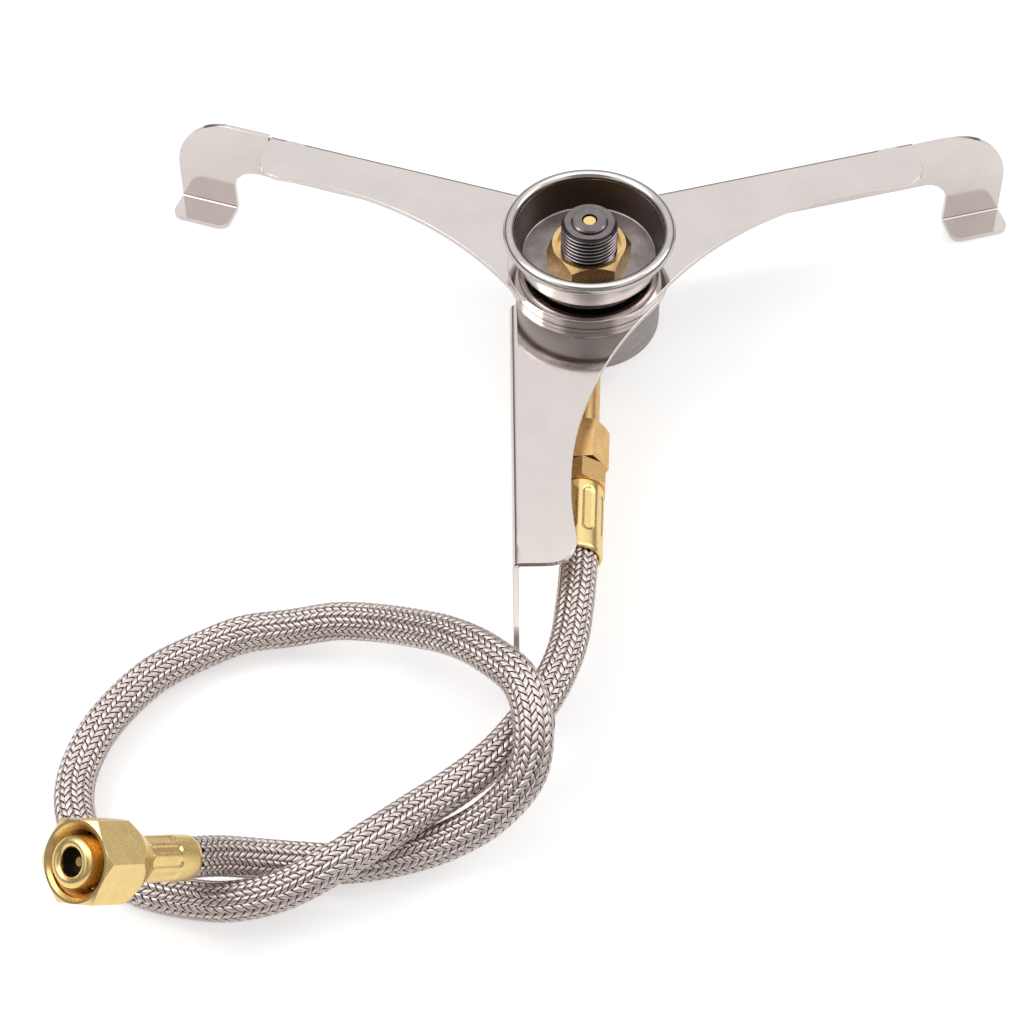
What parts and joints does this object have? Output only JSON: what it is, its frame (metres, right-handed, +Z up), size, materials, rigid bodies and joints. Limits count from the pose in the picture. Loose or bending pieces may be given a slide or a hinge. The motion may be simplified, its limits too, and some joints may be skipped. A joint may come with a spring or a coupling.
{
  "type": "remote gas canister adapter with tripod stand",
  "caption": "Folding sheet-metal tripod with a threaded valve stem in a cup, fed by a braided hose with a swivelling brass fitting for a gas canister.",
  "frame": {"origin": "on the floor, straight below the valve axis", "axes": "+Z up along the valve thread, -Y along the gas line out to the hose"},
  "size_m": [0.1802, 0.1991, 0.0405],
  "materials": {
    "leg_steel": "polished stainless sheet",
    "cup_steel": "pressed stainless, dark inside wall",
    "housing_metal": "satin grey",
    "washer_steel": "turned steel",
    "stem_metal": "dark nickel plate",
    "line_brass": "turned brass",
    "fitting_brass": "pale bright brass",
    "hose_braid": "stainless wire braid",
    "black_rubber": "matte"
  },
  "bodies": {
    "base": {"leg_front": "leg_steel", "housing": "housing_metal", "base_screw": "washer_steel", "valve_block": "line_brass", "pivot_bush": "line_brass", "thrust_washer": "washer_steel", "wave_washer": "washer_steel", "valve_cup": "cup_steel", "stem_nut": "line_brass", "valve_stem": "stem_metal", "stem_seal": "black_rubber", "valve_spring": "washer_steel", "spring_seat": "line_brass", "gas_pipe": "line_brass", "pipe_coupler": "line_brass", "coupler_gasket": "black_rubber", "hose_tail": "line_brass", "ferrule_near": "fitting_brass", "hose": "hose_braid", "ferrule_far": "fitting_brass", "nipple": "fitting_brass", "depressor_pin": "fitting_brass"},
    "left_leg": {"leg_left": "leg_steel"},
    "right_leg": {"leg_right": "leg_steel"},
    "pin": {"valve_pin": "fitting_brass"},
    "swivel_nut": {"union_nut": "fitting_brass"}
  },
  "joints": [
    {"name": "left_leg_fold", "type": "hinge", "parent": "base", "child": "left_leg", "pos_m": [0, 0, 0.0236], "axis": [0, 0, 1], "range_deg": [-15, 70]},
    {"name": "right_leg_fold", "type": "hinge", "parent": "base", "child": "right_leg", "pos_m": [0, 0, 0.0247], "axis": [0, 0, 1], "range_deg": [-104, 8]},
    {"name": "valve_pin_press", "type": "slide", "parent": "base", "child": "pin", "axis": [0, 0, -1], "range_m": [0, 0.0015], "stiffness_N_per_m": 500, "springref_m": -0.002, "deforming": ["valve_spring"]},
    {"name": "union_nut_swivel", "type": "hinge", "parent": "base", "child": "swivel_nut", "pos_m": [-0.0625, -0.1325, 0.0132], "axis": [-0.5286, -0.4878, 0.6947], "continuous": true}
  ]
}
